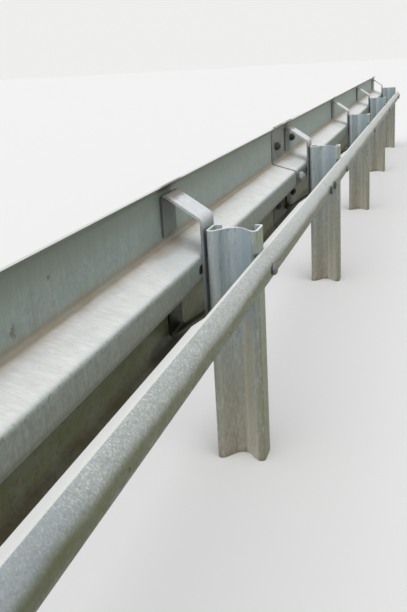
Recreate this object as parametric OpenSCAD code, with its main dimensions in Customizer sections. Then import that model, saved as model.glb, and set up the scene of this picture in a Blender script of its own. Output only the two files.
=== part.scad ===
// Highway guardrail section, six bays, seen as built from ground level up.
// Frame: +X along the run, +Y toward the road, +Z up. Millimetres, real size.
// The origin lies on the foot face of the first post, in the middle of its web.

/* [Run] */
// Spacing of the posts, centre to centre
bay = 1333.3; // [1000:0.1:2000]
// Overhang of rail and strap past the first and the last post centre
overhang = 260; // [200:1:300]

/* [Posts] */
// Height of a post above the ground
post_h = 480; // [400:1:800]
// Web width of the sigma post, over the flanges
post_w = 100; // [80:1:140]
// Flange depth of the sigma post
post_d = 60; // [50:1:80]
// Sheet thickness of the post
post_t = 4; // [3:0.5:6]
// Depth of the fold in the web
web_fold = 33; // [20:1:40]
// Flat width of the fold
fold_flat = 20; // [10:1:40]
// Width of the flat web strip beside each flange
web_strip = 11; // [8:1:20]
// Length of the lip at each flange end, over the bend
lip = 17; // [10:1:25]
// Bend radius of the post's corners at mid sheet
post_r = 6; // [4:0.5:10]
// Bend radius at the fold's two roots at mid sheet
fold_root_r = 10; // [4:0.5:15]
// Bend radius at the fold's two crest bends at mid sheet
fold_crest_r = 20; // [4:0.5:30]

/* [Rail] */
// Height of the rail beam over its lips
rail_h = 323; // [290:1:350]
// Depth of the rail beam
rail_d = 81; // [70:1:95]
// Sheet thickness of the rail
rail_t = 3; // [2.5:0.5:4]
// Height of the centre ridge between its corners
ridge_h = 48; // [36:1:60]
// Height of the crest's inner corner above the centre line
crest_z = 47; // [35:1:70]
// Height of the bent-back lip at each edge of the rail
rim_h = 12; // [6:0.5:20]
// Distance that the lip's end stands back from the crest
rim_back = 12; // [6:0.5:20]
// Bend radius of the rail at mid sheet
rail_r = 10; // [6:0.5:20]
// Distance of the rail centre line below the post top
rail_drop = 75; // [50:1:100]
// Length of the slot for the post bolt
ridge_slot = 105; // [60:1:120]
// Height of the slot for the post bolt
ridge_slot_h = 20; // [16:1:24]
// Length of a splice slot
splice_slot = 32; // [20:1:40]
// Height of a splice slot
splice_slot_h = 18; // [14:1:22]
// Half the distance between the two columns of splice slots
splice_x = 140; // [80:1:150]
// Distance of the splice's middle before the post bolt
splice_before = 51; // [45:1:60]
// Height of the splice slots above and below the centre line
splice_z = 98; // [80:1:120]

/* [Brackets] */
// Thickness of the bent flat bar
bar_t = 5; // [4:0.5:8]
// Width of the flat bar
bar_w = 80; // [60:1:90]
// Height of the bracket's rear corner above the centre line
bar_rear_z = 94; // [80:1:110]
// Distance of the bracket's front corner from the bend of the rail's lip
bar_clear = 2.5; // [2:0.5:10]
// Height of the front leg's end above the centre line
bar_end_z = 62; // [55:1:90]
// Bend radius of the bar's rear corners at mid thickness
bar_r = 14; // [8:1:25]
// Bend radius of the bar's front corners at mid thickness
bar_front_r = 7; // [5:1:14]
// Thickness of the square packing plate behind the bar
pack_t = 5; // [4:0.5:8]
// Side of the packing plate
pack_w = 45; // [36:1:50]

/* [Cover plates] */
// Length of the plate under the post bolt
cover_l = 115; // [80:1:140]
// Height of the plate under the post bolt
cover_h = 32; // [24:1:36]
// Thickness of the plate under the post bolt
cover_t = 5; // [4:0.5:8]

/* [Strap] */
// Height of the rounded rear strap
strap_h = 70; // [50:1:90]
// Depth of the rear strap from the flange face
strap_d = 24; // [15:1:35]
// Sheet thickness of the strap
strap_t = 3; // [2.5:0.5:4]
// Height taken off the strap's edges by the level trim
strap_trim = 1.4; // [1:0.1:2]
// Distance of the strap centre line below the post top
strap_drop = 80; // [60:1:110]
// Length of the strap's slot at each post
strap_slot = 56; // [30:1:70]
// Length of a strap splice slot
strap_lap_slot = 36; // [20:1:50]
// Distance of the strap lap's middle before the splice post
strap_lap_x = 410; // [300:5:500]
// Length of the strap lap
strap_lap = 180; // [120:5:240]
// Length of the lap gauge, hole to hole along the strap
strap_lap_gauge = 90; // [60:5:120]
// Distance of a drain hole after a post
drain_after = 380; // [350:5:500]
// Distance of a drain hole before a post
drain_before = 778; // [600:1:800]
// Diameter of a drain hole
drain_d = 6; // [4:0.5:10]
// Distance of the drain holes below the strap centre line
drain_drop = 3; // [0:1:8]

/* [Bolts] */
// Hole diameter for the post bolts
bolt_d = 18; // [14:0.5:22]

/* [Hidden] */
$fn = 32;
posts = 7;
post_xs = [for (i = [0:posts - 1]) i * bay];
splice_post = 3;
web_x = -web_fold;
face_x = web_x - post_t / 2;
flange_x = face_x + post_d / 2;
front_y = post_w / 2;
bar_y = front_y + pack_t;
rail_y = bar_y + bar_t;
rail_z = post_h - rail_drop;
strap_z = post_h - strap_drop;
run_a = -overhang;
run_b = (posts - 1) * bay + overhang;
lap_a = splice_post * bay - overhang;
lap_b = splice_post * bay + overhang;
lap_gap = 3;
collar = 8;
crest_y = rail_d - rail_t / 2;
arc_n = 6;
strap_arc = (strap_h * strap_h / 4 + strap_d * strap_d) / (2 * strap_d);
strap_in = strap_arc - strap_d;
strap_n = 10;
strap_a = -overhang;
strap_b = (posts - 1) * bay + overhang;
strap_mid = splice_post * bay - strap_lap_x;
strap_lap_a = strap_mid - strap_lap / 2;
strap_lap_b = strap_mid + strap_lap / 2;

function unit(v) = v / norm(v);
function left(v) = [-v[1], v[0]];
function turn(v, a) = [v[0] * cos(a) - v[1] * sin(a), v[0] * sin(a) + v[1] * cos(a)];
function bend(u, v) = atan2(u[0] * v[1] - u[1] * v[0], u[0] * v[0] + u[1] * v[1]);
function corner(p, u, a, r, o) =
    let (s = a < 0 ? -1 : 1)
    let (c = p - u * r * tan(abs(a) / 2) + left(u) * r * s)
    [for (k = [0:arc_n]) c + turn(left(u) * (-s), a * k / arc_n) * (r - o * s)];
function radius(r, i) = is_list(r) ? r[i] : r;
function side(p, r, o) =
    let (n = len(p) - 1)
    [for (i = [0:n]) each
        i == 0 ? [p[0] + left(unit(p[1] - p[0])) * o] :
        i == n ? [p[n] + left(unit(p[n] - p[n - 1])) * o] :
        corner(p[i], unit(p[i] - p[i - 1]), bend(p[i] - p[i - 1], p[i + 1] - p[i]), radius(r, i), o)];
function back(p) = [for (i = [len(p) - 1:-1:0]) p[i]];

// Each fold bend stays within the flat it turns out of.
fold_turn = atan2(web_fold, front_y - post_t / 2 - web_strip - fold_flat / 2);
root_r = min(fold_root_r, 0.98 * (web_strip - post_r) / tan(fold_turn / 2));
crest_r = min(fold_crest_r, 0.98 * fold_flat / 2 / tan(fold_turn / 2));
post_path = [
    [face_x + post_d - post_t / 2, -front_y + lip],
    [face_x + post_d - post_t / 2, -front_y + post_t / 2],
    [web_x, -front_y + post_t / 2],
    [web_x, -front_y + post_t / 2 + web_strip],
    [0, -fold_flat / 2],
    [0, fold_flat / 2],
    [web_x, front_y - post_t / 2 - web_strip],
    [web_x, front_y - post_t / 2],
    [face_x + post_d - post_t / 2, front_y - post_t / 2],
    [face_x + post_d - post_t / 2, front_y - lip]
];
post_bends = [0, post_r, post_r, root_r, crest_r, crest_r, root_r, post_r, post_r, 0];

rim_z = rail_h / 2 - rim_h;
rail_path = [
    [crest_y - rim_back, -rail_h / 2],
    [crest_y, -rim_z],
    [crest_y, -crest_z],
    [rail_t / 2, -ridge_h / 2],
    [rail_t / 2, ridge_h / 2],
    [crest_y, crest_z],
    [crest_y, rim_z],
    [crest_y - rim_back, rail_h / 2]
];

bar_y0 = bar_y + bar_t / 2;
bar_y1 = rail_y + rail_d - rail_t - bar_t / 2;
bar_front_z = rim_z - bar_clear;
bar_path = [
    [bar_y1, -bar_end_z],
    [bar_y1, -bar_front_z],
    [bar_y0, -bar_rear_z],
    [bar_y0, bar_rear_z],
    [bar_y1, bar_front_z],
    [bar_y1, bar_end_z]
];
bar_bends = [0, bar_front_r, bar_r, bar_r, bar_front_r, 0];

module sheet(path, r, a, b) {
    polygon(concat(side(path, r, a), back(side(path, r, b))));
}

module along(x0, x1) {
    translate([x0, 0, 0])
        rotate([90, 0, 90])
            linear_extrude(x1 - x0) children();
}

// A slot through a wall that faces +Y, its length along X.
module slot_y(x, y, z, len, h, depth) {
    translate([x, y + depth / 2, z])
        rotate([90, 0, 0])
            linear_extrude(depth) {
                translate([-(len - h) / 2, 0]) circle(d = h);
                translate([(len - h) / 2, 0]) circle(d = h);
                square([len - h, h], center = true);
            }
}

// A round hole through a wall that faces +Y.
module hole_y(x, y, z, d, depth) {
    translate([x, y + depth / 2, z])
        rotate([90, 0, 0])
            cylinder(d = d, h = depth);
}

module post_at(i) {
    color([0.62, 0.66, 0.67])
        translate([post_xs[i], 0, 0])
            difference() {
                linear_extrude(post_h) sheet(post_path, post_bends, post_t / 2, -post_t / 2);
                hole_y(flange_x, front_y - post_t / 2, rail_z, bolt_d, post_t * 4);
                hole_y(flange_x, -front_y + post_t / 2, strap_z, bolt_d, post_t * 4);
            }
}

module bracket_at(i) {
    color([0.74, 0.76, 0.77])
        translate([post_xs[i], 0, 0])
            difference() {
                translate([0, 0, rail_z])
                    along(face_x, face_x + bar_w) sheet(bar_path, bar_bends, bar_t / 2, -bar_t / 2);
                hole_y(flange_x, bar_y0, rail_z, bolt_d, bar_t * 4);
            }
}

module packing_at(i) {
    color([0.66, 0.68, 0.68])
        translate([post_xs[i] + flange_x, front_y, rail_z])
            difference() {
                translate([-pack_w / 2, 0, -pack_w / 2]) cube([pack_w, pack_t, pack_w]);
                hole_y(0, pack_t / 2, 0, bolt_d, pack_t * 4);
            }
}

module cover_at(i) {
    y0 = rail_y + rail_t + (i == splice_post ? rail_t : 0);
    color([0.70, 0.72, 0.73])
        translate([post_xs[i] + flange_x, 0, 0])
            difference() {
                translate([-cover_l / 2, y0, rail_z - cover_h / 2]) cube([cover_l, cover_t, cover_h]);
                slot_y(0, y0 + cover_t / 2, rail_z, bolt_d * 1.5, bolt_d, cover_t * 4);
            }
}

module rail_bar(x0, x1, a, b) {
    translate([0, rail_y, rail_z])
        along(x0, x1) sheet(rail_path, rail_r, a, b);
}

module splice_slots(x0) {
    x = x0 + flange_x - splice_before;
    for (sx = [-1, 1]) {
        slot_y(x + sx * splice_x, rail_y + crest_y, rail_z + splice_z, splice_slot, splice_slot_h, rail_t * 8);
        slot_y(x + sx * splice_x, rail_y + crest_y, rail_z - splice_z, splice_slot, splice_slot_h, rail_t * 8);
        slot_y(x + sx * splice_x, rail_y, rail_z, splice_slot, splice_slot_h, rail_t * 8);
    }
}

module ridge_slots(from, to) {
    for (i = [from:to])
        slot_y(post_xs[i] + flange_x, rail_y + rail_t / 2, rail_z, ridge_slot, ridge_slot_h, rail_t * 8);
}

module rail_1() {
    color([0.68, 0.71, 0.70])
        difference() {
            union() {
                rail_bar(run_a, lap_a - lap_gap, rail_t / 2, -rail_t / 2);
                rail_bar(lap_a - lap_gap - collar, lap_a - lap_gap, rail_t / 2, -rail_t * 1.5);
                rail_bar(lap_a - lap_gap - collar, lap_b, -rail_t / 2, -rail_t * 1.5);
            }
            ridge_slots(0, splice_post);
            splice_slots(post_xs[0]);
            splice_slots(post_xs[splice_post]);
        }
}

module rail_2() {
    color([0.68, 0.71, 0.70])
        difference() {
            rail_bar(lap_a, run_b, rail_t / 2, -rail_t / 2);
            ridge_slots(splice_post, posts - 1);
            splice_slots(post_xs[splice_post]);
            splice_slots(post_xs[posts - 1]);
        }
}

// Points of an arc about the strap's centre that ends on the flange face.
function strap_edge(r) =
    let (a = acos(strap_in / r))
    [for (k = [-strap_n:strap_n]) [strap_in - front_y - r * cos(a * k / strap_n), r * sin(a * k / strap_n)]];
function trimmed(p, z) = [for (q = p) if (abs(q[1]) < z) q];

// The main strap: rounded sheet with its edges trimmed level.
module strap_skin() {
    outer = strap_edge(strap_arc);
    top = outer[2 * strap_n][1] - strap_trim;
    y = strap_in - front_y - sqrt(strap_arc * strap_arc - top * top);
    polygon(concat(
        [[y, -top]], trimmed(outer, top), [[y, top], [-front_y, top]],
        back(strap_edge(strap_arc - strap_t)), [[-front_y, -top]]));
}

// The lapped end that lies inside the next strap.
module strap_tongue() {
    polygon(concat(strap_edge(strap_arc - strap_t), back(strap_edge(strap_arc - strap_t * 2))));
}

module strap_slot_at(x, len, h, z) {
    slot_y(x, -front_y - strap_d, z, len, h, strap_d * 2);
}

module strap_post_slots(from, to) {
    for (i = [from:to]) strap_slot_at(post_xs[i] + flange_x, strap_slot, bolt_d, strap_z);
}

module strap_lap_slots(x) {
    for (sx = [-1, 1]) strap_slot_at(x + sx * strap_lap_gauge / 2, strap_lap_slot, bolt_d, strap_z);
}

module drain_holes(i) {
    hole_y(post_xs[i] + drain_after, -front_y - strap_d, strap_z - drain_drop, drain_d, strap_d * 2);
    hole_y(post_xs[i] - drain_before, -front_y - strap_d, strap_z - drain_drop, drain_d, strap_d * 2);
}

module strap_1() {
    color([0.72, 0.74, 0.74])
        difference() {
            translate([0, 0, strap_z]) {
                along(strap_a, strap_lap_a - lap_gap) strap_skin();
                along(strap_lap_a - lap_gap - collar * 3, strap_lap_b) strap_tongue();
            }
            strap_post_slots(0, splice_post - 1);
            strap_lap_slots(strap_mid);
            strap_lap_slots(-overhang + strap_lap / 2);
            drain_holes(2);
        }
}

module strap_2() {
    color([0.72, 0.74, 0.74])
        difference() {
            translate([0, 0, strap_z])
                along(strap_lap_a, strap_b) strap_skin();
            strap_post_slots(splice_post, posts - 1);
            strap_lap_slots(strap_mid);
            strap_lap_slots(strap_b - strap_lap / 2);
            drain_holes(5);
        }
}

module post_1() { post_at(0); }
module post_2() { post_at(1); }
module post_3() { post_at(2); }
module post_4() { post_at(3); }
module post_5() { post_at(4); }
module post_6() { post_at(5); }
module post_7() { post_at(6); }
module bracket_1() { bracket_at(0); }
module bracket_2() { bracket_at(1); }
module bracket_3() { bracket_at(2); }
module bracket_4() { bracket_at(3); }
module bracket_5() { bracket_at(4); }
module bracket_6() { bracket_at(5); }
module bracket_7() { bracket_at(6); }
module packing_plate_1() { packing_at(0); }
module packing_plate_2() { packing_at(1); }
module packing_plate_3() { packing_at(2); }
module packing_plate_4() { packing_at(3); }
module packing_plate_5() { packing_at(4); }
module packing_plate_6() { packing_at(5); }
module packing_plate_7() { packing_at(6); }
module cover_plate_1() { cover_at(0); }
module cover_plate_2() { cover_at(1); }
module cover_plate_3() { cover_at(2); }
module cover_plate_4() { cover_at(3); }
module cover_plate_5() { cover_at(4); }
module cover_plate_6() { cover_at(5); }
module cover_plate_7() { cover_at(6); }

post_1();
post_2();
post_3();
post_4();
post_5();
post_6();
post_7();
bracket_1();
bracket_2();
bracket_3();
bracket_4();
bracket_5();
bracket_6();
bracket_7();
packing_plate_1();
packing_plate_2();
packing_plate_3();
packing_plate_4();
packing_plate_5();
packing_plate_6();
packing_plate_7();
cover_plate_1();
cover_plate_2();
cover_plate_3();
cover_plate_4();
cover_plate_5();
cover_plate_6();
cover_plate_7();
rail_1();
rail_2();
strap_1();
strap_2();
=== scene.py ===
"""Looks of a straight road guardrail section, in metres.

The frame brings the sheet steel. This script gives it weathered zinc with painted light and shade,
adds the bolts and nuts, and sets up a pale floor, soft light and a camera behind the rail.
"""
import math
import bmesh
import bpy
from mathutils import Matrix, Vector

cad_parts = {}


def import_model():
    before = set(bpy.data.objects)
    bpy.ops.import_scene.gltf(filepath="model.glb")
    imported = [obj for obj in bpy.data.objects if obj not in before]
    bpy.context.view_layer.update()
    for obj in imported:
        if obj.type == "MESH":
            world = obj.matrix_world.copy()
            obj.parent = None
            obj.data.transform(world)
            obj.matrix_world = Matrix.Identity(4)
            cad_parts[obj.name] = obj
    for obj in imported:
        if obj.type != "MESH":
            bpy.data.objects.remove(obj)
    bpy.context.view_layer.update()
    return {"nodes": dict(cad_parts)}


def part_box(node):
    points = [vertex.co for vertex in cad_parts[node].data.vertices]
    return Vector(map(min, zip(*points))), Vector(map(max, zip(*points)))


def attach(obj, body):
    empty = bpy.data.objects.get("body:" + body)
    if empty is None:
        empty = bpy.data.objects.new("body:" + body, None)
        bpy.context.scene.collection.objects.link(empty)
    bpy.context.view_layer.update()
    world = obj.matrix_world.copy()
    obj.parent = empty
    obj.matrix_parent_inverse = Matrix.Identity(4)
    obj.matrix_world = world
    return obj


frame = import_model()
NODES = frame["nodes"]
MM = 0.001

# Places read from the frame. BOLT_X is how far the bolts stand from the middle of a post's web.
RAIL_LOW, RAIL_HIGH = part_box("rail_2")
RAIL_Z = (RAIL_LOW.z + RAIL_HIGH.z) / 2
RIDGE_Y = RAIL_LOW.y
CREST_Y = RAIL_HIGH.y
STRAP_LOW, STRAP_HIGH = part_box("strap_2")
STRAP_Z = (STRAP_LOW.z + STRAP_HIGH.z) / 2
STRAP_Y = STRAP_LOW.y
POST_LOW, POST_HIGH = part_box("post_1")
BOLT_X = (POST_LOW.x + POST_HIGH.x) / 2
POST_NUMBERS = range(1, 1 + sum(name.startswith("post_") for name in NODES))

# Sheets and bolt patterns, as in the solids
RAIL_T = 3 * MM
STRAP_T = 3 * MM
FLANGE_T = 4 * MM
SPLICE_POST = 4
SPLICE_BEFORE = 51 * MM
SPLICE_HALF = 140 * MM
SPLICE_Z = 98 * MM
LAP_LENGTH = 180 * MM
LAP_HALF = 45 * MM

# Fasteners for an M16 bolt, each head as its radius and height
BOLT_R = 8 * MM
HEX_HALF = 12 * MM
HEX_CHAMFER = math.radians(30)
NUT_H = 13 * MM
WASHER_R = 15 * MM
WASHER_T = 3 * MM
WASHER_SOFT = 0.4 * MM
PITCH = 2 * MM
TIP_H = 0.8 * MM
LONG_REACH = 7 * MM
SHORT_REACH = 4 * MM
DOME_RIM = 1 * MM
LOW_HEAD = (17 * MM, 3.6 * MM)
STRAP_HEAD = (12.5 * MM, 8 * MM)
LAP_HEAD = (13 * MM, 7 * MM)
LAP_NUT_GAP = 3 * MM
TOWARD_ROAD = Matrix.Rotation(math.radians(-90), 4, "X")
TOWARD_FIELD = Matrix.Rotation(math.radians(90), 4, "X")

# Shares of the nut's half width, the bolt's radius, the pitch, the core and the head's radius
HEX_FACE = 0.97
THREAD_CORE = 0.86
THREAD_CREST = 0.4
THREAD_ROOT = 0.9
TIP_R = 0.94
DOME_FLAT = 0.06

# Each nut is turned this many degrees further than the one before it
POST_NUT_TURN = 11
SPLICE_NUT_TURN = 17
STRAP_NUT_TURN = 7

# Fineness of the meshes
SEGMENTS = 48
DOME_STEPS = 8
ANGLES = [2 * math.pi * step / SEGMENTS for step in range(SEGMENTS)]
SHEET_CREASE = 25
FASTENER_CREASE = 30


def post_x(i):
    """Middle of post i's web along the run, counted from 1."""
    low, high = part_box(f"post_{i}")
    return (low.x + high.x) / 2 - BOLT_X


# Shapes of the fasteners, each built up from height 0
def ring(shape, radii, heights):
    """A closed loop of vertices, with a radius and a height at each angle."""
    return [
        shape.verts.new((radius * math.cos(angle), radius * math.sin(angle), height))
        for angle, radius, height in zip(ANGLES, radii, heights)
    ]


def level(value):
    """The same value at each angle."""
    return [value] * SEGMENTS


def skin(shape, rings):
    """Joins neighbouring loops with quads, and fills the first and the last."""
    for lower, upper in zip(rings, rings[1:]):
        for this in range(SEGMENTS):
            after = (this + 1) % SEGMENTS
            shape.faces.new((lower[this], lower[after], upper[after], upper[this]))
    shape.faces.new(list(reversed(rings[0])))
    shape.faces.new(rings[-1])


def lathe(shape, profile):
    """A turned shape from (radius, height) pairs, from the bottom up."""
    skin(shape, [ring(shape, level(radius), level(height)) for radius, height in profile])


def hexagon(angle):
    """Radius of the hexagon at the angle."""
    side = math.pi / 3
    return HEX_HALF / math.cos((angle % side) - side / 2)


def hex_body(shape, low, high):
    """A hexagon with both ends chamfered, as on nuts."""
    face = HEX_HALF * HEX_FACE
    corners = [hexagon(angle) for angle in ANGLES]
    cuts = [(radius - face) * math.tan(HEX_CHAMFER) for radius in corners]
    skin(shape, [
        ring(shape, level(face), level(low)),
        ring(shape, corners, [low + cut for cut in cuts]),
        ring(shape, corners, [high - cut for cut in cuts]),
        ring(shape, level(face), level(high)),
    ])


def washer(shape):
    """A round washer with softened edges."""
    inner = WASHER_R - WASHER_SOFT
    lathe(shape, [
        (inner, 0),
        (WASHER_R, WASHER_SOFT),
        (WASHER_R, WASHER_T - WASHER_SOFT),
        (inner, WASHER_T),
    ])


def thread(shape, low, high):
    """A bolt's end, its thread drawn as rings below a chamfered tip."""
    core = BOLT_R * THREAD_CORE
    turns = round((high - low) / PITCH)
    profile = [(core, low)]
    for turn in range(turns):
        start = low + (high - low) * turn / turns
        profile += [(BOLT_R, start + PITCH * THREAD_CREST), (core, start + PITCH * THREAD_ROOT)]
    profile.append((core * TIP_R, high + TIP_H))
    lathe(shape, profile)


def nut(shape, low, reach):
    """A nut standing on height low, with the bolt's end reaching past it."""
    top = low + NUT_H
    hex_body(shape, low, top)
    thread(shape, top - PITCH, top + reach)


def washer_and_nut(shape):
    """The nut of a post bolt or strap bolt, on its washer."""
    washer(shape)
    nut(shape, WASHER_T, LONG_REACH)


def bare_nut(shape):
    """The nut of a splice bolt or lap bolt, which has no washer."""
    nut(shape, 0, SHORT_REACH)


def dome_head(shape, radius, height):
    """A mushroom head: an upright rim below a quarter of an ellipse."""
    rise = height - DOME_RIM
    profile = [(radius, 0)]
    for step in range(DOME_STEPS):
        angle = math.pi / 2 * step / DOME_STEPS
        profile.append((radius * math.cos(angle), DOME_RIM + rise * math.sin(angle)))
    profile.append((radius * DOME_FLAT, height))
    lathe(shape, profile)


def shank(shape, length):
    """The plain part of a bolt."""
    lathe(shape, [(BOLT_R, 0), (BOLT_R, length)])


def fastener(shape, place, facing, build, *sizes, turn=0):
    """Adds what build makes from the sizes, standing on the place and facing one way."""
    part = bmesh.new()
    build(part, *sizes)
    turned = Matrix.Rotation(math.radians(turn), 4, "Z")
    part.transform(Matrix.Translation(place) @ facing @ turned)
    mesh = bpy.data.meshes.new("part")
    part.to_mesh(mesh)
    part.free()
    shape.from_mesh(mesh)
    bpy.data.meshes.remove(mesh)


def smooth(obj, crease):
    """Smooth shading that breaks where faces meet at more than the crease, in degrees."""
    mesh = obj.data
    mesh.polygons.foreach_set("use_smooth", [True] * len(mesh.polygons))
    mesh.set_sharp_from_angle(angle=math.radians(crease))


def add_object(name, data):
    """A new object in the scene."""
    obj = bpy.data.objects.new(name, data)
    bpy.context.scene.collection.objects.link(obj)
    return obj


def piece(name, shape, material):
    """Turns the shape into a named piece that rides on the frame."""
    bmesh.ops.recalc_face_normals(shape, faces=shape.faces)
    mesh = bpy.data.meshes.new(name)
    shape.to_mesh(mesh)
    shape.free()
    mesh.materials.append(material)
    obj = add_object(name, mesh)
    smooth(obj, FASTENER_CREASE)
    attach(obj, "root")


# Settings that the materials share
METAL = 0.15
SHINE = 0.5
BUMP_STRENGTH = 0.25
BUMP_DEPTH = 0.4 * MM
ROUGH_RANGE = (0.2, 0.8)
SPOT_FADE = (1, 0.2)
NOISE_MEAN = 0.5


class Finish:
    """A material under construction, whose colour is laid on in coats.

    A mask is a number from 0 to 1 that varies over the surface. A coat's factors are masks and
    plain shares, and their product says how much of its tone shows. A span is two numbers: a
    mask is 0 at the first and 1 at the second. Spans of places are in millimetres.
    """

    def __init__(self, name):
        self.material = bpy.data.materials.new(name)
        self.material.use_nodes = True
        self.tree = self.material.node_tree
        self.tree.nodes.clear()
        self.place = self.node("ShaderNodeTexCoord").outputs["Object"]
        self.x, self.y, self.z = self.split(self.place)
        self.colour = None

    def node(self, kind, **settings):
        """A new node with these settings."""
        made = self.tree.nodes.new(kind)
        for key, value in settings.items():
            setattr(made, key, value)
        return made

    def put(self, socket, value):
        """Links a socket's value, or sets a plain one."""
        if isinstance(value, bpy.types.NodeSocket):
            self.tree.links.new(value, socket)
        else:
            socket.default_value = value

    def split(self, vector):
        """The three parts of a vector or colour."""
        made = self.node("ShaderNodeSeparateXYZ")
        self.put(made.inputs[0], vector)
        return made.outputs

    def math(self, how, *values):
        """One step of arithmetic on masks and numbers."""
        made = self.node("ShaderNodeMath", operation=how)
        for socket, value in zip(made.inputs, values):
            self.put(socket, value)
        return made.outputs[0]

    def times(self, *factors):
        """The product of masks and shares."""
        product = factors[0]
        for factor in factors[1:]:
            product = self.math("MULTIPLY", product, factor)
        return product

    def scaled(self, scale):
        """The place on the surface, multiplied along X, Y and Z."""
        made = self.node("ShaderNodeVectorMath", operation="MULTIPLY")
        self.put(made.inputs[0], self.place)
        self.put(made.inputs[1], scale)
        return made.outputs[0]

    def noise(self, scale, detail=4, rough=0.55):
        """Noise from 0 to 1. Its scale is in cycles a metre along X, Y and Z."""
        made = self.node("ShaderNodeTexNoise")
        self.put(made.inputs["Vector"], self.scaled(scale))
        self.put(made.inputs["Scale"], 1)
        self.put(made.inputs["Detail"], detail)
        self.put(made.inputs["Roughness"], rough)
        return made.outputs["Fac"]

    def cells(self, scale):
        """A random value for each crystal of the zinc."""
        made = self.node("ShaderNodeTexVoronoi")
        self.put(made.inputs["Vector"], self.scaled(scale))
        self.put(made.inputs["Scale"], 1)
        return self.split(made.outputs["Color"])[0]

    def ramp(self, value, low, high, least=0.0, most=1.0):
        """A soft step, from least where the value is low to most where it is high."""
        made = self.node("ShaderNodeMapRange", interpolation_type="SMOOTHSTEP")
        self.put(made.inputs["Value"], value)
        self.put(made.inputs["From Min"], low)
        self.put(made.inputs["From Max"], high)
        self.put(made.inputs["To Min"], least)
        self.put(made.inputs["To Max"], most)
        return made.outputs["Result"]

    def between(self, mask, least, most):
        """A mask that runs from least to most where the given one runs from 0 to 1."""
        return self.ramp(mask, 0, 1, least, most)

    def facing(self, axis, span):
        """A mask by how far the surface faces along the axis, which is X, Y or Z."""
        direction = self.split(self.node("ShaderNodeTexCoord").outputs["Normal"])
        return self.ramp(direction[axis], *span)

    def patches(self, scale, low, high, detail=4, rough=0.55, least=0.0, most=1.0):
        """Noise cut to patches: least where it is under low, most where it is over high."""
        return self.ramp(self.noise(scale, detail, rough), low, high, least, most)

    def fade(self, axis, origin, span):
        """A mask by the place along the axis, with the span counted from the origin."""
        first, second = span
        return self.ramp(axis, origin + first * MM, origin + second * MM)

    def window(self, axis, origin, spans):
        """A mask that fades in over one span and out over the other."""
        rising, falling = spans
        return self.times(self.fade(axis, origin, rising), self.fade(axis, origin, falling))

    def sum_of_squares(self, first, second):
        """The square of the distance whose two parts are given."""
        return self.math("ADD", self.times(first, first), self.times(second, second))

    def near(self, y, z, reach):
        """1 on the line along X at y, z, and 0 from the reach on."""
        across = self.math("SUBTRACT", self.y, y)
        upward = self.math("SUBTRACT", self.z, z)
        distance = self.math("SQRT", self.sum_of_squares(across, upward))
        return self.ramp(distance, reach, 0)

    def spot(self, x, z, oval):
        """1 inside an oval on an upright face, and 0 from its edge on.

        The oval gives its middle's place past x and z, its half width and its half height,
        all in millimetres.
        """
        along, up, half_width, half_height = (size * MM for size in oval)
        across = self.math("DIVIDE", self.math("SUBTRACT", self.x, x + along), half_width)
        upward = self.math("DIVIDE", self.math("SUBTRACT", self.z, z + up), half_height)
        return self.ramp(self.sum_of_squares(across, upward), *SPOT_FADE)

    def mix(self, amount, first, second):
        """The first colour, turned to the second by the amount."""
        made = self.node("ShaderNodeMix", data_type="RGBA")
        self.put(made.inputs["Factor"], amount)
        for name, colour in (("A", first), ("B", second)):
            plain = isinstance(colour, tuple)
            self.put(made.inputs[name], (*colour, 1) if plain else colour)
        return made.outputs["Result"]

    def start(self, pattern, dark, pale):
        """Begins with a colour that follows the pattern from dark to pale."""
        self.colour = self.mix(pattern, dark, pale)

    def over(self, colour, tone, *factors):
        """The colour with a coat of the tone on it."""
        return self.mix(self.times(*factors), colour, tone)

    def coat(self, tone, *factors):
        """Lays a coat of the tone on the material's colour."""
        self.colour = self.over(self.colour, tone, *factors)

    def rough(self, pattern, least, most):
        """Roughness that follows a noise pattern."""
        return self.ramp(pattern, *ROUGH_RANGE, least, most)

    def done(self, roughness, relief, shine=SHINE):
        """Puts the colour, roughness and relief on the shader, and returns the material."""
        bump = self.node("ShaderNodeBump")
        self.put(bump.inputs["Strength"], BUMP_STRENGTH)
        self.put(bump.inputs["Distance"], BUMP_DEPTH)
        self.put(bump.inputs["Height"], relief)
        shader = self.node("ShaderNodeBsdfPrincipled")
        self.put(shader.inputs["Base Color"], self.colour)
        self.put(shader.inputs["Metallic"], METAL)
        self.put(shader.inputs["Roughness"], roughness)
        self.put(shader.inputs["Specular IOR Level"], shine)
        self.put(shader.inputs["Normal"], bump.outputs["Normal"])
        self.put(self.node("ShaderNodeOutputMaterial").inputs["Surface"], shader.outputs[0])
        return self.material


# Colours of the rail, from its plates and its ridge to its dirt, and its painted light and shade
PLATE_DARK = (0.245, 0.305, 0.272)
PLATE_PALE = (0.330, 0.395, 0.358)
PLATE_BLOTCH = (0.228, 0.268, 0.243)
PLATE_MOTTLE = (0.43, 0.47, 0.45)
PLATE_STREAK = (0.47, 0.51, 0.49)
PLATE_RUN = (0.20, 0.235, 0.215)
# Painted shade toward the top of the upper plate, and a painted highlight along the lip's cut edge
PLATE_TOP_SHADE = (0.185, 0.225, 0.175)
LIP_HIGHLIGHT = (0.80, 0.80, 0.77)
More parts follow.
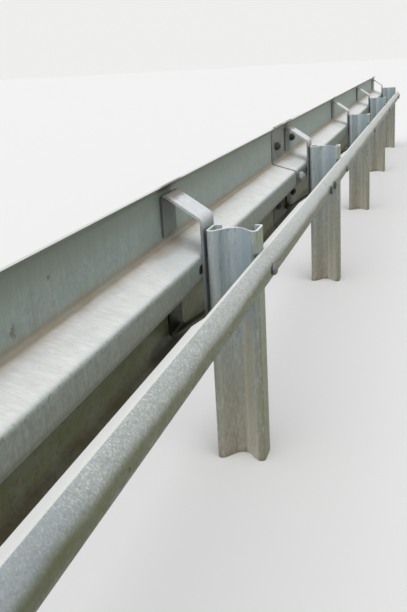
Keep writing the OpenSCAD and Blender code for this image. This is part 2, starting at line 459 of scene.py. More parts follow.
# Painted light: the slope on top of the ridge is painted pale where the sky lights it, with painted
# shade beside each bracket
SLOPE_LIT_DARK = (0.748, 0.746, 0.732)
SLOPE_LIT_PALE = (0.890, 0.884, 0.874)
SLOPE_LIT_CLOUD = (0.60, 0.61, 0.60)
SLOPE_SHADE = (0.43, 0.475, 0.50)
RIDGE_DARK = (0.250, 0.278, 0.245)
RIDGE_PALE = (0.385, 0.405, 0.370)
RIDGE_LOW = (0.215, 0.235, 0.190)
RIDGE_GRAIN = (0.42, 0.44, 0.42)
RIDGE_BLOTCH = (0.185, 0.210, 0.180)
RIDGE_FLECK = (0.43, 0.455, 0.43)
RIM_DOTS = (0.12, 0.115, 0.095)
DIRT = (0.330, 0.265, 0.185)
FOLD_DIRT = (0.345, 0.262, 0.168)
FOLD_BROWN = (0.165, 0.135, 0.092)
# Painted shade under the ridge; the grime on the lower wave is darkened further as painted shade
UNDER_RIDGE_SHADE = (0.100, 0.104, 0.066)
GRIME_AND_SHADE = (0.130, 0.138, 0.062)
GRIME_LOW = (0.102, 0.086, 0.044)
GRIME_PATCH = (0.070, 0.054, 0.034)
GRIME_FLECK = (0.185, 0.190, 0.125)
SPLICE_SHADE = (0.048, 0.052, 0.028)
HOLLOW_SHADE = (0.030, 0.029, 0.018)
NOOK_SHADE = (0.080, 0.072, 0.050)
# Dirt and painted shade on the lapped plate, and a black line of dirt and painted shade along the
# seam
LAP_DIRT_AND_SHADE = (0.160, 0.160, 0.135)
SEAM_DIRT_AND_SHADE = (0.022, 0.022, 0.020)
SPECKS = (0.16, 0.14, 0.11)
RUST = (0.135, 0.082, 0.048)

# Heights on the rail's section, from its middle
SLOPE_HEIGHTS = ((20, 29), (52, 46))
RIDGE_HEIGHTS = ((-26, -20), (24, 17))
RIDGE_DARKENS = (20, -12)
RIM_HEIGHTS = ((12, 19), (27, 22))
GRIME_AND_SHADE_STARTS = (-20, -34)
GRIME_BROWNS = (-132, -150)
PLATE_DARKENS = (86, 150)
SPLICE_SHADE_STARTS = (20, 4)
LAP_DIRT_AND_SHADE_STARTS = (40, 60)

# Other places on the rail, from its road face, its fold, its top and its seam
SLOPE_DEPTHS = (-6, -14)
FOLD_DIRT_STARTS = (24, 4)
LIP_BRIGHTENS = (-3.2, -2.2)
SPLICE_SHADE_LENGTH = ((-6, 12), (420, 300))
LAP_DIRT_AND_SHADE_LENGTH = ((-4, 2), (250, 120))
SEAM_LENGTH = ((-16, -2), (12, 1))

# The folds, with dirt in the upper one and painted shade along the lower one under the ridge:
# their heights from the rail's middle, and how far the dirt and the shade reach
FOLD_Z = 47 * MM
FOLD_REACH = 37 * MM
FOLD_CORE = 18 * MM
LOW_FOLD_Z = -24 * MM
LOW_FOLD_REACH = 15 * MM

# Ovals beside each post, from the post and the rail's middle
# Painted shade on the slope beside each bracket
SLOPE_SHADE_OVAL = (-85, 24, 150, 30)
WEDGE_OVAL = (-50, 46, 120, 10)
HOLLOW_OVAL = (-70, -152, 110, 34)
NOOK_OVAL = (10, 158, 85, 18)

# Rust spots on the rail, from the first post's foot
RUST_OVALS = ((2052, 478, 10, 14), (2160, 519, 6, 5), (2630, 386, 12, 12))

# The surface's direction along Y where it faces the road, and where it faces the field
FIELD_SIDE = (0.15, -0.15)


def rail_base(zinc, mottle, streak):
    """Mottled and streaky zinc all over the rail."""
    cloud = zinc.noise((5, 12, 12), detail=5)
    zinc.start(cloud, PLATE_DARK, PLATE_PALE)
    zinc.coat(PLATE_BLOTCH, 0.50, zinc.patches((26, 26, 34), 0.42, 0.62, detail=5, rough=0.62))
    zinc.coat(PLATE_MOTTLE, 0.44, zinc.ramp(mottle, 0.46, 0.68))
    zinc.coat(PLATE_STREAK, 0.46, zinc.ramp(streak, 0.45, 0.72))
    zinc.coat(PLATE_RUN, 0.30, zinc.patches((95, 7, 7), 0.50, 0.72, detail=3, rough=0.6))


def rail_slope(zinc, back):
    """The slope on top of the ridge, painted pale where the sky lights it, with painted shade and
    brown dirt beside each bracket.
    """
    heights = zinc.window(zinc.z, RAIL_Z, SLOPE_HEIGHTS)
    slope = zinc.times(heights, zinc.fade(zinc.y, CREST_Y, SLOPE_DEPTHS), back)
    streaks = zinc.patches((210, 46, 46), 0.28, 0.72, rough=0.68)
    clouds = zinc.patches((30, 30, 30), 0.45, 0.72, detail=5, rough=0.62)
    sky_lit = zinc.mix(streaks, SLOPE_LIT_DARK, SLOPE_LIT_PALE)
    sky_lit = zinc.over(sky_lit, SLOPE_LIT_CLOUD, 0.40, clouds)
    # Painted sky light: the upward slope is painted pale
    zinc.coat(sky_lit, 0.95, slope)
    for i in POST_NUMBERS:
        # Painted shade on the slope beside the bracket, then brown dirt
        zinc.coat(SLOPE_SHADE, 0.30, zinc.spot(post_x(i), RAIL_Z, SLOPE_SHADE_OVAL), slope)
        zinc.coat(DIRT, 0.45, zinc.spot(post_x(i), RAIL_Z, WEDGE_OVAL), slope)


def rail_fold(zinc, back):
    """Brown dirt in the fold between the slope and the upper plate."""
    height = RAIL_Z + FOLD_Z
    uneven = zinc.patches((14, 60, 60), 0.25, 0.75, detail=5, rough=0.62, least=0.50)
    dusty = zinc.times(zinc.near(CREST_Y, height, FOLD_REACH), zinc.between(back, 0.3, 1))
    zinc.coat(FOLD_DIRT, 0.90, dusty, zinc.fade(zinc.z, height, FOLD_DIRT_STARTS), uneven)
    zinc.coat(FOLD_BROWN, 0.45, zinc.near(CREST_Y, height, FOLD_CORE), uneven, back)


def rail_ridge(zinc):
    """The ridge's upright face, with dark dots along its upper rim."""
    streaks = zinc.patches((150, 18, 18), 0.30, 0.70, detail=5, rough=0.66)
    grain = zinc.patches((150, 150, 60), 0.5, 0.7, detail=3, rough=0.6)
    blotches = zinc.patches((46, 52, 60), 0.48, 0.62, detail=5, rough=0.68)
    flecks = zinc.patches((110, 110, 110), 0.52, 0.66, detail=5, rough=0.7)
    face = zinc.mix(streaks, RIDGE_DARK, RIDGE_PALE)
    face = zinc.over(face, RIDGE_LOW, 0.75, zinc.fade(zinc.z, RAIL_Z, RIDGE_DARKENS))
    face = zinc.over(face, RIDGE_GRAIN, 0.5, grain)
    face = zinc.over(face, RIDGE_BLOTCH, 0.42, blotches)
    face = zinc.over(face, RIDGE_FLECK, 0.38, flecks)
    dots = zinc.patches((120, 210, 210), 0.54, 0.66)
    zinc.coat(face, 0.85, zinc.window(zinc.z, RAIL_Z, RIDGE_HEIGHTS))
    zinc.coat(RIM_DOTS, 0.5, zinc.window(zinc.z, RAIL_Z, RIM_HEIGHTS), dots)


def rail_grime_and_shade(zinc, under):
    """Painted shade under the ridge, and olive and brown grime with painted shade on the lower
    wave.
    """
    uneven = zinc.patches((14, 60, 60), 0.2, 0.7, least=0.5)
    worn = zinc.patches((14, 30, 30), 0.3, 0.7, least=0.80, most=0.98)
    patches = zinc.patches((70, 70, 90), 0.50, 0.68, detail=5, rough=0.7)
    flecks = zinc.patches((160, 160, 160), 0.52, 0.70, rough=0.7)
    # The grime below the ridge is darkened further as painted shade
    grime = zinc.mix(zinc.fade(zinc.z, RAIL_Z, GRIME_BROWNS), GRIME_AND_SHADE, GRIME_LOW)
    # Painted shade along the lower fold under the ridge
    zinc.coat(UNDER_RIDGE_SHADE, zinc.near(RIDGE_Y, RAIL_Z + LOW_FOLD_Z, LOW_FOLD_REACH), uneven)
    zinc.coat(grime, under, worn)
    zinc.coat(GRIME_PATCH, 0.45, under, patches)
    zinc.coat(GRIME_FLECK, 0.38, under, flecks)


def rail_top(zinc):
    """Painted shade on the upper plate, darker and greener toward its top, and a painted highlight
    on its lip's edge.
    """
    # Painted shade toward the top of the upper plate, then a painted highlight on the lip's edge
    zinc.coat(PLATE_TOP_SHADE, 0.85, zinc.fade(zinc.z, RAIL_Z, PLATE_DARKENS))
    zinc.coat(LIP_HIGHLIGHT, 0.9, zinc.fade(zinc.z, RAIL_HIGH.z, LIP_BRIGHTENS))


def rail_shade(zinc, back):
    """Painted shade low on the splice, and at both ends of each bracket."""
    length = zinc.window(zinc.x, RAIL_LOW.x, SPLICE_SHADE_LENGTH)
    zinc.coat(SPLICE_SHADE, 0.8, length, zinc.fade(zinc.z, RAIL_Z, SPLICE_SHADE_STARTS), back)
    for i in POST_NUMBERS:
        zinc.coat(HOLLOW_SHADE, 0.8, zinc.spot(post_x(i), RAIL_Z, HOLLOW_OVAL), back)
        zinc.coat(NOOK_SHADE, 0.65, zinc.spot(post_x(i), RAIL_Z, NOOK_OVAL), back)


def rail_seam(zinc, back):
    """Dirt and painted shade behind the lap, and a black line of dirt and painted shade along the
    seam.
    """
    length = zinc.window(zinc.x, RAIL_LOW.x, LAP_DIRT_AND_SHADE_LENGTH)
    blotches = zinc.patches((22, 40, 16), 0.25, 0.7, least=0.55)
    uneven = zinc.patches((30, 60, 60), 0.2, 0.6, detail=3, least=0.6)
    # Dirt and painted shade behind the lap, then the seam's line of dirt and painted shade
    zinc.coat(LAP_DIRT_AND_SHADE, length, zinc.fade(zinc.z, RAIL_Z, LAP_DIRT_AND_SHADE_STARTS), back, blotches)
    zinc.coat(SEAM_DIRT_AND_SHADE, zinc.window(zinc.x, RAIL_LOW.x, SEAM_LENGTH), uneven)


def rail_rust(zinc):
    """Small dark specks all over, and a few rust spots."""
    zinc.coat(SPECKS, 0.5, zinc.patches((190, 190, 190), 0.71, 0.77, detail=2))
    ragged = zinc.patches((260, 260, 260), 0.35, 0.6, detail=3)
    for oval in RUST_OVALS:
        zinc.coat(RUST, 0.8, zinc.spot(0, 0, oval), ragged)


def rail_finish():
    """The folded rail: painted sky light on the ridge's top, brown dirt in the fold, grime and
    painted shade below.
    """
    zinc = Finish("rail_zinc")
    mottle = zinc.noise((85, 85, 85), rough=0.65)
    streak = zinc.noise((360, 14, 14), rough=0.7)
    back = zinc.facing("Y", FIELD_SIDE)
    # The lower wave on the field side, which takes grime and painted shade
    under = zinc.times(zinc.fade(zinc.z, RAIL_Z, GRIME_AND_SHADE_STARTS), zinc.between(back, 0.35, 1))
    rail_base(zinc, mottle, streak)
    rail_slope(zinc, back)
    rail_fold(zinc, back)
    rail_ridge(zinc)
    rail_grime_and_shade(zinc, under)
    rail_top(zinc)
    rail_shade(zinc, back)
    rail_seam(zinc, back)
    rail_rust(zinc)
    relief = zinc.math("ADD", zinc.times(streak, 0.6), mottle)
    return zinc.done(zinc.rough(mottle, 0.42, 0.60), relief, zinc.between(under, SHINE, 0.12))


# Colours of the strap
STRAP_DARK = (0.370, 0.400, 0.375)
STRAP_PALE = (0.45, 0.475, 0.455)
STRAP_CRYSTAL = (0.30, 0.33, 0.31)
STRAP_SHADE = (0.22, 0.26, 0.25)
STRAP_FLECK = (0.62, 0.650, 0.66)
STRAP_BLUE = (0.255, 0.295, 0.325)
# The strap turns paler farther along the run
STRAP_FAR_PALE = (0.72, 0.73, 0.72)
# A painted highlight along the strap's upper cut edge
STRAP_EDGE_HIGHLIGHT = (0.78, 0.78, 0.74)
# Painted olive shade on the strap's underside
STRAP_UNDERSIDE_SHADE = (0.135, 0.148, 0.070)

# Places on the strap, from the first post, its upper edge and its middle
STRAP_PALER_SPAN = (2100, 3100)
STRAP_BLUE_OVAL = (1580, 26, 260, 60)
STRAP_HIGHLIGHT_STARTS = (-1.2, -0.4)
STRAP_UNDERSIDE_SHADE_STARTS = (20, 2)
STRAP_UNDERSIDE_SHADE_WAVE = 14 * MM


def strap_finish():
    """The strap: spangled zinc, a painted highlight on its upper edge, and painted olive shade on
    its underside.
    """
    zinc = Finish("strap_zinc")
    cloud = zinc.noise((6, 20, 20))
    crystal = zinc.cells((260, 260, 190))
    fleck = zinc.noise((360, 360, 220), detail=3, rough=0.70)
    zinc.start(cloud, STRAP_DARK, STRAP_PALE)
    zinc.coat(STRAP_CRYSTAL, 0.62, zinc.ramp(crystal, 0.1, 0.9))
    zinc.coat(STRAP_SHADE, 0.50, zinc.patches((150, 150, 90), 0.50, 0.70, rough=0.65))
    zinc.coat(STRAP_FLECK, 0.90, zinc.ramp(fleck, 0.50, 0.64))
    zinc.coat(STRAP_BLUE, 0.58, zinc.spot(0, STRAP_Z, STRAP_BLUE_OVAL))
    # Paler farther along the run
    zinc.coat(STRAP_FAR_PALE, 0.24, zinc.fade(zinc.x, 0, STRAP_PALER_SPAN))
    # Painted highlight along the upper edge
    zinc.coat(STRAP_EDGE_HIGHLIGHT, 0.8, zinc.fade(zinc.z, STRAP_HIGH.z, STRAP_HIGHLIGHT_STARTS))

    # Painted shade on the underside, with a wavy upper border
    wave = zinc.times(zinc.math("SUBTRACT", cloud, NOISE_MEAN), STRAP_UNDERSIDE_SHADE_WAVE)
    under = zinc.fade(zinc.math("ADD", zinc.z, wave), STRAP_Z, STRAP_UNDERSIDE_SHADE_STARTS)
    zinc.coat(STRAP_UNDERSIDE_SHADE, under, zinc.patches((10, 40, 40), 0.2, 0.8, least=0.86))
    relief = zinc.math("ADD", fleck, crystal)
    return zinc.done(zinc.between(crystal, 0.34, 0.52), relief, zinc.between(under, 0.6, 0.12))


# Colours of the posts
POST_DARK = (0.250, 0.310, 0.340)
POST_PALE = (0.40, 0.445, 0.450)
POST_WASH = (0.48, 0.51, 0.51)
POST_MOTTLE = (0.285, 0.325, 0.285)
POST_PATCH = (0.190, 0.235, 0.262)
# A painted bluish highlight on the web's crest
POST_CREST_HIGHLIGHT = (0.50, 0.57, 0.62)
POST_LOWER = (0.330, 0.322, 0.238)
SOIL = (0.330, 0.290, 0.235)
SOIL_LINE = (0.22, 0.18, 0.135)
POST_DRIPS = (0.10, 0.085, 0.07)
REAR_LOWER = (0.180, 0.190, 0.098)
REAR_UPPER = (0.218, 0.264, 0.168)
# A painted highlight along the post's top cut edge
POST_EDGE_HIGHLIGHT = (0.86, 0.87, 0.87)
REAR_SLOPE_LOWER = (0.66, 0.645, 0.55)
REAR_SLOPE_UPPER = (0.41, 0.50, 0.56)
GRAIN_PALE = (0.60, 0.61, 0.58)
GRAIN_DARK = (0.17, 0.185, 0.180)
STRAP_SHADOW = (0.055, 0.058, 0.050)

# Heights on the post, from the ground, its top and the strap's upper edge
POST_UPPER = (260, 370)
POST_DULLS = (340, 140)
SPLASH_ZONE = (300, 0)
SOIL_LINE_TOP = (16, 0)
DRIP_ZONE = (-60, 0)
POST_HIGHLIGHT_STARTS = (-1.6, -0.6)
SHADOW_HEIGHTS = ((-12, -4), (5, 0))

# Depths on the post, from its middle and its rear face
CREST_DEPTHS = ((-18, -8), (18, 8))
REAR_SLOPE_DEPTHS = ((-38, -33), (-2, -12))
REAR_STARTS = (12, 5)
SHADOW_STARTS = (12, 6)

# The surface's direction along Y beside the rear flange's face, and on it
REAR_FACE = (-0.5, -0.8)


def post_base(zinc, wash):
    """Zinc in upright bands and patches all over the post."""
    band = zinc.patches((60, 60, 1.6), 0.30, 0.70, detail=3, rough=0.6)
    zinc.start(band, POST_DARK, POST_PALE)
    zinc.coat(POST_WASH, 0.35, zinc.ramp(wash, 0.42, 0.75))
    zinc.coat(POST_MOTTLE, 0.35, zinc.patches((60, 60, 40), 0.45, 0.8, detail=5, rough=0.6))
    zinc.coat(POST_PATCH, 0.45, zinc.patches((70, 70, 26), 0.52, 0.66, detail=5, rough=0.68))


def post_weather(zinc, upper):
    """A painted bluish highlight on the crest above, brownish zinc and soil below, and drips under
    the post's top.
    """
    foot = zinc.fade(zinc.z, 0, SPLASH_ZONE)
    spray = zinc.math("ADD", zinc.noise((60, 60, 34), detail=6, rough=0.72), zinc.times(foot, 0.30))
    drips = zinc.patches((260, 260, 26), 0.60, 0.70, detail=3)
    # Painted bluish highlight on the crest, in the upper part
    zinc.coat(POST_CREST_HIGHLIGHT, 0.36, zinc.window(zinc.y, 0, CREST_DEPTHS), upper)
    zinc.coat(POST_LOWER, 0.72, zinc.fade(zinc.z, 0, POST_DULLS))
    zinc.coat(SOIL, zinc.ramp(spray, 0.60, 0.86), foot)
    zinc.coat(SOIL_LINE, 0.75, zinc.fade(zinc.z, 0, SOIL_LINE_TOP))
    zinc.coat(POST_DRIPS, 0.75, zinc.fade(zinc.z, POST_HIGH.z, DRIP_ZONE), drips)


def post_faces(zinc, upper):
    """The greener rear flange, a painted highlight on the top edge, and the rear slope of the web's
    fold.
    """
    rear = zinc.fade(zinc.y, POST_LOW.y, REAR_STARTS)
    face = zinc.facing("Y", REAR_FACE)
    flange = zinc.mix(upper, REAR_LOWER, REAR_UPPER)
    slope = zinc.mix(upper, REAR_SLOPE_LOWER, REAR_SLOPE_UPPER)
    zinc.coat(flange, rear, zinc.between(face, 0.45, 0.84))
    # Painted highlight on the top edge
    zinc.coat(POST_EDGE_HIGHLIGHT, 0.92, zinc.fade(zinc.z, POST_HIGH.z, POST_HIGHLIGHT_STARTS))
    zinc.coat(slope, 0.92, zinc.window(zinc.y, 0, REAR_SLOPE_DEPTHS))


def post_grain(zinc, upper):
    """Fine pale and dark grain, coarser in the lower part."""
    grain = zinc.noise((300, 300, 65), detail=3, rough=0.7)
    coarse = zinc.between(upper, 1, 0.45)
    zinc.coat(GRAIN_PALE, 0.38, zinc.ramp(grain, 0.50, 0.68), coarse)
    zinc.coat(GRAIN_DARK, 0.36, zinc.ramp(grain, 0.48, 0.32), coarse)


def post_shadow(zinc):
    """The dark line where the strap's upper edge meets the rear flange."""
    heights = zinc.window(zinc.z, STRAP_HIGH.z, SHADOW_HEIGHTS)
    zinc.coat(STRAP_SHADOW, 0.85, heights, zinc.fade(zinc.y, POST_LOW.y, SHADOW_STARTS))


def post_finish():
    """The posts: banded zinc that turns from bluish above to brown and soiled below."""
    zinc = Finish("post_zinc")
    wash = zinc.noise((210, 210, 6), rough=0.65)
    upper = zinc.fade(zinc.z, 0, POST_UPPER)
    post_base(zinc, wash)
    post_weather(zinc, upper)
    post_faces(zinc, upper)
    post_grain(zinc, upper)
    post_shadow(zinc)
    return zinc.done(zinc.rough(wash, 0.40, 0.58), wash)


# Colours of the brackets
BRACKET_DARK = (0.58, 0.61, 0.63)
BRACKET_PALE = (0.72, 0.74, 0.75)
BRACKET_STREAK = (0.80, 0.81, 0.82)
ARM_DIRT = (0.140, 0.128, 0.092)
ARM_END = (0.075, 0.064, 0.045)
# Painted shade on the bars' near edges, on the legs under the arms, and on the lower half
BAR_EDGE_SHADE = (0.25, 0.28, 0.26)
LEG_LOWER_SHADE = (0.185, 0.218, 0.188)
LEG_UPPER_SHADE = (0.072, 0.080, 0.068)
LEG_EDGE_SHADE = (0.045, 0.050, 0.044)
UPRIGHT = (0.150, 0.168, 0.178)
LOW_ARM_SHADE = (0.085, 0.088, 0.052)
LOW_LEG_SHADE = (0.026, 0.024, 0.014)

# Places on the bracket: depths from the rail's road face and its ridge, heights from its middle
ARM_DIRT_ZONE = (-44, -8)
ARM_END_ZONE = (-24, -9)
LEG_ZONE = (-11, -9)
UPRIGHT_ZONE = (6, 2)
UPRIGHT_TOP = (107, 68)
LEG_DARKENS = (60, 125)
LOW_ZONE = (-60, -92)

# The surface's direction along X beside the bar's near edge, and on it
NEAR_EDGE = (-0.3, -0.8)


def bracket_arms(zinc):
    """Streaky zinc, dirty where the arms come near to the rail."""
    inner = zinc.fade(zinc.y, CREST_Y, ARM_DIRT_ZONE)
    stain = zinc.noise((34, 44, 44), detail=5, rough=0.65)
    dirty = zinc.math("ADD", stain, zinc.times(inner, 0.50))
    zinc.coat(BRACKET_STREAK, 0.4, zinc.patches((320, 16, 16), 0.45, 0.75, detail=3, rough=0.65))
    zinc.coat(ARM_DIRT, 0.95, zinc.ramp(dirty, 0.52, 0.74), zinc.ramp(inner, 0, 0.6))
    zinc.coat(ARM_END, 0.75, zinc.fade(zinc.y, CREST_Y, ARM_END_ZONE))


def bracket_legs(zinc, leg, low):
    """Painted shade on the legs behind the rail's plates, on the bars' near edges and on the lower
    half, and the upright by the post.
    """
    # Painted shade on the bars' near edges and on the legs, darker toward the arms
    edge = zinc.facing("X", NEAR_EDGE)
    shade = zinc.mix(zinc.fade(zinc.z, RAIL_Z, LEG_DARKENS), LEG_LOWER_SHADE, LEG_UPPER_SHADE)
    shade = zinc.over(shade, LEG_EDGE_SHADE, 0.75, edge)
    upright = zinc.fade(zinc.y, RIDGE_Y, UPRIGHT_ZONE)
    zinc.coat(BAR_EDGE_SHADE, 0.55, edge)
    zinc.coat(shade, 0.95, leg)
    zinc.coat(UPRIGHT, 0.88, upright, zinc.fade(zinc.z, RAIL_Z, UPRIGHT_TOP))
    # Painted shade on the lower half
    zinc.coat(zinc.mix(leg, LOW_ARM_SHADE, LOW_LEG_SHADE), low, zinc.between(leg, 0.9, 0.97))


def bracket_finish():
    """The brackets: the palest zinc on the upper arms, and painted shade below and behind the rail.
    """
    zinc = Finish("bracket_zinc")
    mottle = zinc.noise((90, 90, 90), detail=5, rough=0.65)
    leg = zinc.fade(zinc.y, CREST_Y, LEG_ZONE)
    low = zinc.fade(zinc.z, RAIL_Z, LOW_ZONE)
    zinc.start(zinc.ramp(mottle, 0.3, 0.7), BRACKET_DARK, BRACKET_PALE)
    bracket_arms(zinc)
    bracket_legs(zinc, leg, low)
    shine = zinc.between(zinc.times(low, leg), SHINE, 0.05)
    return zinc.done(zinc.rough(mottle, 0.38, 0.55), mottle, shine)


# Colours of the packing plates and cover plates
PLAIN_DARK = (0.34, 0.365, 0.36)
PLAIN_PALE = (0.47, 0.49, 0.485)
PLAIN_WORN = (0.25, 0.25, 0.215)
GAP_DIRT_AND_SHADE = (0.030, 0.027, 0.024)

# Where the dirt and painted shade behind the ridge start, from the ridge's back
GAP_STARTS = (5, 3.4)


def plate_finish():
    """The flat plates: plain zinc in front of the ridge, and black dirt and painted shade behind
    it.
    """
    zinc = Finish("plate_zinc")
    mottle = zinc.noise((110, 110, 110), detail=5, rough=0.65)
    hidden = zinc.fade(zinc.y, RIDGE_Y, GAP_STARTS)
    zinc.start(mottle, PLAIN_DARK, PLAIN_PALE)
    zinc.coat(PLAIN_WORN, 0.5, zinc.patches((24, 24, 24), 0.5, 0.75))
    # Black dirt and painted shade behind the ridge, seen through the slots
    zinc.coat(GAP_DIRT_AND_SHADE, 0.92, hidden)
    return zinc.done(zinc.rough(mottle, 0.42, 0.60), mottle, zinc.between(hidden, SHINE, 0.1))


# Colours of the fasteners: dark, pale and worn
BRIGHT_TONES = ((0.25, 0.27, 0.27), (0.42, 0.44, 0.44), (0.17, 0.13, 0.09))
DULL_TONES = ((0.110, 0.120, 0.120), (0.190, 0.200, 0.200), (0.085, 0.070, 0.050))
# Near-black steel, darkened further as painted shade for the splice nuts on the rail's plates
DARK_TONES = ((0.028, 0.030, 0.028), (0.060, 0.062, 0.055), (0.050, 0.035, 0.022))


def bolt_finish(name, dark, pale, worn):
    """Mottled zinc for fasteners, with worn patches."""
    zinc = Finish(name)
    mottle = zinc.noise((240, 240, 240), rough=0.65)
    zinc.start(mottle, dark, pale)
    zinc.coat(worn, 0.55, zinc.patches((60, 60, 60), 0.55, 0.75))
    return zinc.done(zinc.rough(mottle, 0.38, 0.55), mottle)


PLATE = plate_finish()
FINISHES = {
    "post": post_finish(),
    "bracket": bracket_finish(),
    "rail": rail_finish(),
    "strap": strap_finish(),
    "cover": PLATE,
    "packing": PLATE,
}
BRIGHT = bolt_finish("bolt_zinc", *BRIGHT_TONES)
DULL = bolt_finish("bolt_dull", *DULL_TONES)
DARK = bolt_finish("bolt_dark", *DARK_TONES)

for name, node in NODES.items():
    node.data.materials.clear()
    node.data.materials.append(FINISHES[name.split("_")[0]])
    smooth(node, SHEET_CREASE)


# Fasteners
def post_bolts():
    """Bolts through cover plate, rail, bracket and flange: heads by the road, nuts in the posts."""
    bolts = bmesh.new()
    for i in POST_NUMBERS:
        x = post_x(i) + BOLT_X
        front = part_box(f"cover_plate_{i}")[1].y
        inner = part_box(f"packing_plate_{i}")[0].y - FLANGE_T
        seat = (x, inner, RAIL_Z)
        fastener(bolts, (x, front, RAIL_Z), TOWARD_ROAD, dome_head, *LOW_HEAD)
        fastener(bolts, seat, TOWARD_FIELD, washer_and_nut, turn=POST_NUT_TURN * i)
        fastener(bolts, seat, TOWARD_ROAD, shank, front - inner)
    piece("post_bolts", bolts, BRIGHT)


def splice_places():
    """Where each splice bolt's nut sits, column by column, and whether it is on the ridge."""
    middle = post_x(SPLICE_POST) + BOLT_X - SPLICE_BEFORE
    for x in (middle - SPLICE_HALF, middle + SPLICE_HALF):
        yield (x, CREST_Y - RAIL_T, RAIL_Z + SPLICE_Z), False
        yield (x, RIDGE_Y, RAIL_Z), True
        yield (x, CREST_Y - RAIL_T, RAIL_Z - SPLICE_Z), False


def splice_bolts():
    """Six bolts that join the rail beams: low heads on the road side, nuts behind."""
    bolts, nuts = bmesh.new(), bmesh.new()
    for number, (seat, on_ridge) in enumerate(splice_places()):
        x, y, z = seat
        front = y + 2 * RAIL_T
        # Nuts on the ridge take the bright finish; those on the plates take the near-black one,
        # dark steel with painted shade
        target = bolts if on_ridge else nuts
        fastener(bolts, (x, front, z), TOWARD_ROAD, dome_head, *LOW_HEAD)
        fastener(bolts, seat, TOWARD_ROAD, shank, front - y)
        fastener(target, seat, TOWARD_FIELD, bare_nut, turn=SPLICE_NUT_TURN * number)
    piece("splice_bolts", bolts, BRIGHT)
    piece("splice_nuts", nuts, DARK)


def strap_bolts():
    """Mushroom heads on the strap at each post, with the nut inside the rear flange."""
    bolts, nuts = bmesh.new(), bmesh.new()
    inner = POST_LOW.y + FLANGE_T
    for i in POST_NUMBERS:
        x = post_x(i) + BOLT_X
        crown = (x, STRAP_Y, STRAP_Z)
        seat = (x, inner, STRAP_Z)
        fastener(bolts, crown, TOWARD_FIELD, dome_head, *STRAP_HEAD)
        fastener(bolts, crown, TOWARD_ROAD, shank, inner - STRAP_Y)
        fastener(nuts, seat, TOWARD_ROAD, washer_and_nut, turn=STRAP_NUT_TURN * i)
    piece("strap_bolts", bolts, DULL)
    piece("strap_nuts", nuts, BRIGHT)


def lap_bolts():
    """Two bolts through the strap's lap, their nuts inside the strap."""
    bolts = bmesh.new()
    middle = STRAP_LOW.x + LAP_LENGTH / 2
    seat_y = STRAP_Y + 2 * STRAP_T + LAP_NUT_GAP
    for x in (middle - LAP_HALF, middle + LAP_HALF):
        crown = (x, STRAP_Y, STRAP_Z)
        fastener(bolts, crown, TOWARD_FIELD, dome_head, *LAP_HEAD)
        fastener(bolts, crown, TOWARD_ROAD, shank, seat_y - STRAP_Y)
        fastener(bolts, (x, seat_y, STRAP_Z), TOWARD_ROAD, bare_nut)
    piece("lap_bolts", bolts, DARK)


post_bolts()
splice_bolts()
strap_bolts()
lap_bolts()

# Floor, light and camera. The camera sees a paler floor and sky than the ones that light the rail.
FLOOR_SEEN = (0.76, 0.755, 0.74)
FLOOR_UNSEEN = (0.17, 0.155, 0.11)
FLOOR_HALF = 60
FLOOR_DROP = 0.5 * MM
SKY_SEEN = (0.86, 0.86, 0.85)
SKY_UNSEEN = (0.47, 0.485, 0.50)
SUN_POWER = 2.6
SUN_WIDTH = 90
SUN_FROM = (-0.70, -0.05, 1.0)
CAMERA_AT = (1.2312, -0.3604, 0.7923)
CAMERA_TURN = (72.436, 3.184, -74.216)
CAMERA_LENS = 46.12
CAMERA_SENSOR = 36
CAMERA_NEAR = 0.01


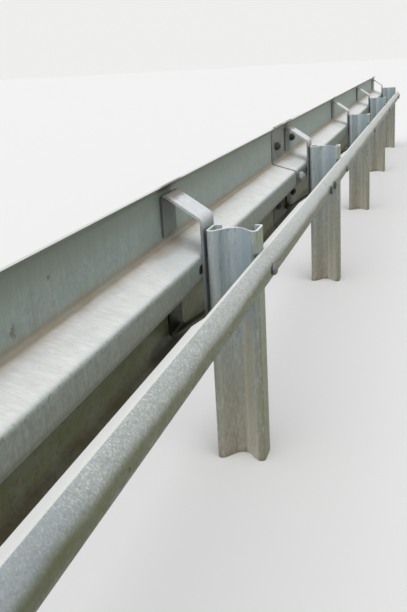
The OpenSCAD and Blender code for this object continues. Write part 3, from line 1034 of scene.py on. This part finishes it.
def seen_or_not(tree, seen, unseen):
    """The seen colour for camera, glossy and clear rays, and the unseen one for all other light."""
    path = tree.nodes.new("ShaderNodeLightPath")
    direct = path.outputs["Is Camera Ray"]
    for name in ("Is Glossy Ray", "Is Transmission Ray"):
        either = tree.nodes.new("ShaderNodeMath")
        either.operation = "MAXIMUM"
        tree.links.new(direct, either.inputs[0])
        tree.links.new(path.outputs[name], either.inputs[1])
        direct = either.outputs[0]
    made = tree.nodes.new("ShaderNodeMix")
    made.data_type = "RGBA"
    tree.links.new(direct, made.inputs["Factor"])
    made.inputs["A"].default_value = (*unseen, 1)
    made.inputs["B"].default_value = (*seen, 1)
    return made.outputs["Result"]


def floor():
    """A wide pale floor, just below the posts' feet."""
    material = bpy.data.materials.new("floor")
    material.use_nodes = True
    shader = material.node_tree.nodes["Principled BSDF"]
    colour = seen_or_not(material.node_tree, FLOOR_SEEN, FLOOR_UNSEEN)
    material.node_tree.links.new(colour, shader.inputs["Base Color"])
    shader.inputs["Roughness"].default_value = 1
    mesh = bpy.data.meshes.new("floor")
    corners = [(x * FLOOR_HALF, y * FLOOR_HALF, 0) for x, y in ((-1, -1), (1, -1), (1, 1), (-1, 1))]
    mesh.from_pydata(corners, [], [(0, 1, 2, 3)])
    mesh.materials.append(material)
    obj = add_object("floor", mesh)
    obj.location.z = -FLOOR_DROP


def world():
    """An even sky all round."""
    made = bpy.data.worlds.new("studio")
    made.use_nodes = True
    colour = seen_or_not(made.node_tree, SKY_SEEN, SKY_UNSEEN)
    background = made.node_tree.nodes["Background"]
    made.node_tree.links.new(colour, background.inputs["Color"])
    bpy.context.scene.world = made


def sun():
    """A very wide, soft light from above and behind the camera."""
    light = bpy.data.lights.new("sun", "SUN")
    light.energy = SUN_POWER
    light.angle = math.radians(SUN_WIDTH)
    obj = add_object("sun", light)
    obj.rotation_euler = Vector(SUN_FROM).to_track_quat("Z", "Y").to_euler()


def camera():
    """The camera behind the rail, looking along the run."""
    lens = bpy.data.cameras.new("camera")
    lens.sensor_width = CAMERA_SENSOR
    lens.lens = CAMERA_LENS
    lens.clip_start = CAMERA_NEAR
    obj = add_object("camera", lens)
    obj.location = CAMERA_AT
    obj.rotation_euler = [math.radians(angle) for angle in CAMERA_TURN]
    bpy.context.scene.camera = obj


floor()
world()
sun()
camera()
bpy.context.scene.view_settings.view_transform = "Standard"
